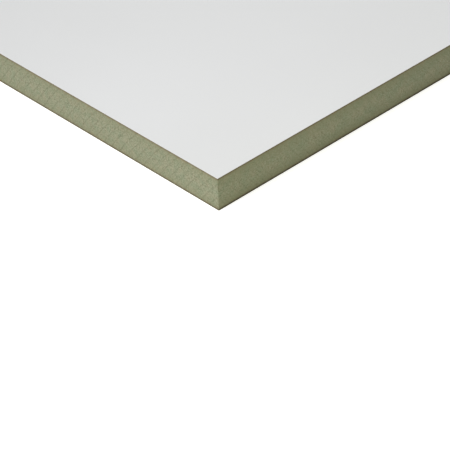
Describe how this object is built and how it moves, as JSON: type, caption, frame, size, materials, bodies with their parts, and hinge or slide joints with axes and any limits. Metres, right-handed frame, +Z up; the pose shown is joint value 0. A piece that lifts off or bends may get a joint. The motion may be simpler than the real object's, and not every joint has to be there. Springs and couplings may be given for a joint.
{
  "type": "faced mdf board",
  "caption": "Flat rectangular sheet of green moisture-resistant fibreboard with a white paper facing on each side and bare sawn edges, for panels, shelves and joinery.",
  "frame": {"origin": "centre of the underside, on the plane that the sheet lies on", "axes": "+X along the sheet's length, +Y across its width, +Z up through its thickness"},
  "size_m": [2.44, 1.22, 0.018],
  "materials": {
    "green_fibreboard": "matte",
    "white_facing": "satin"
  },
  "bodies": {
    "root": {"mdf_core": "green_fibreboard", "top_facing": "white_facing", "bottom_facing": "white_facing"}
  },
  "joints": []
}
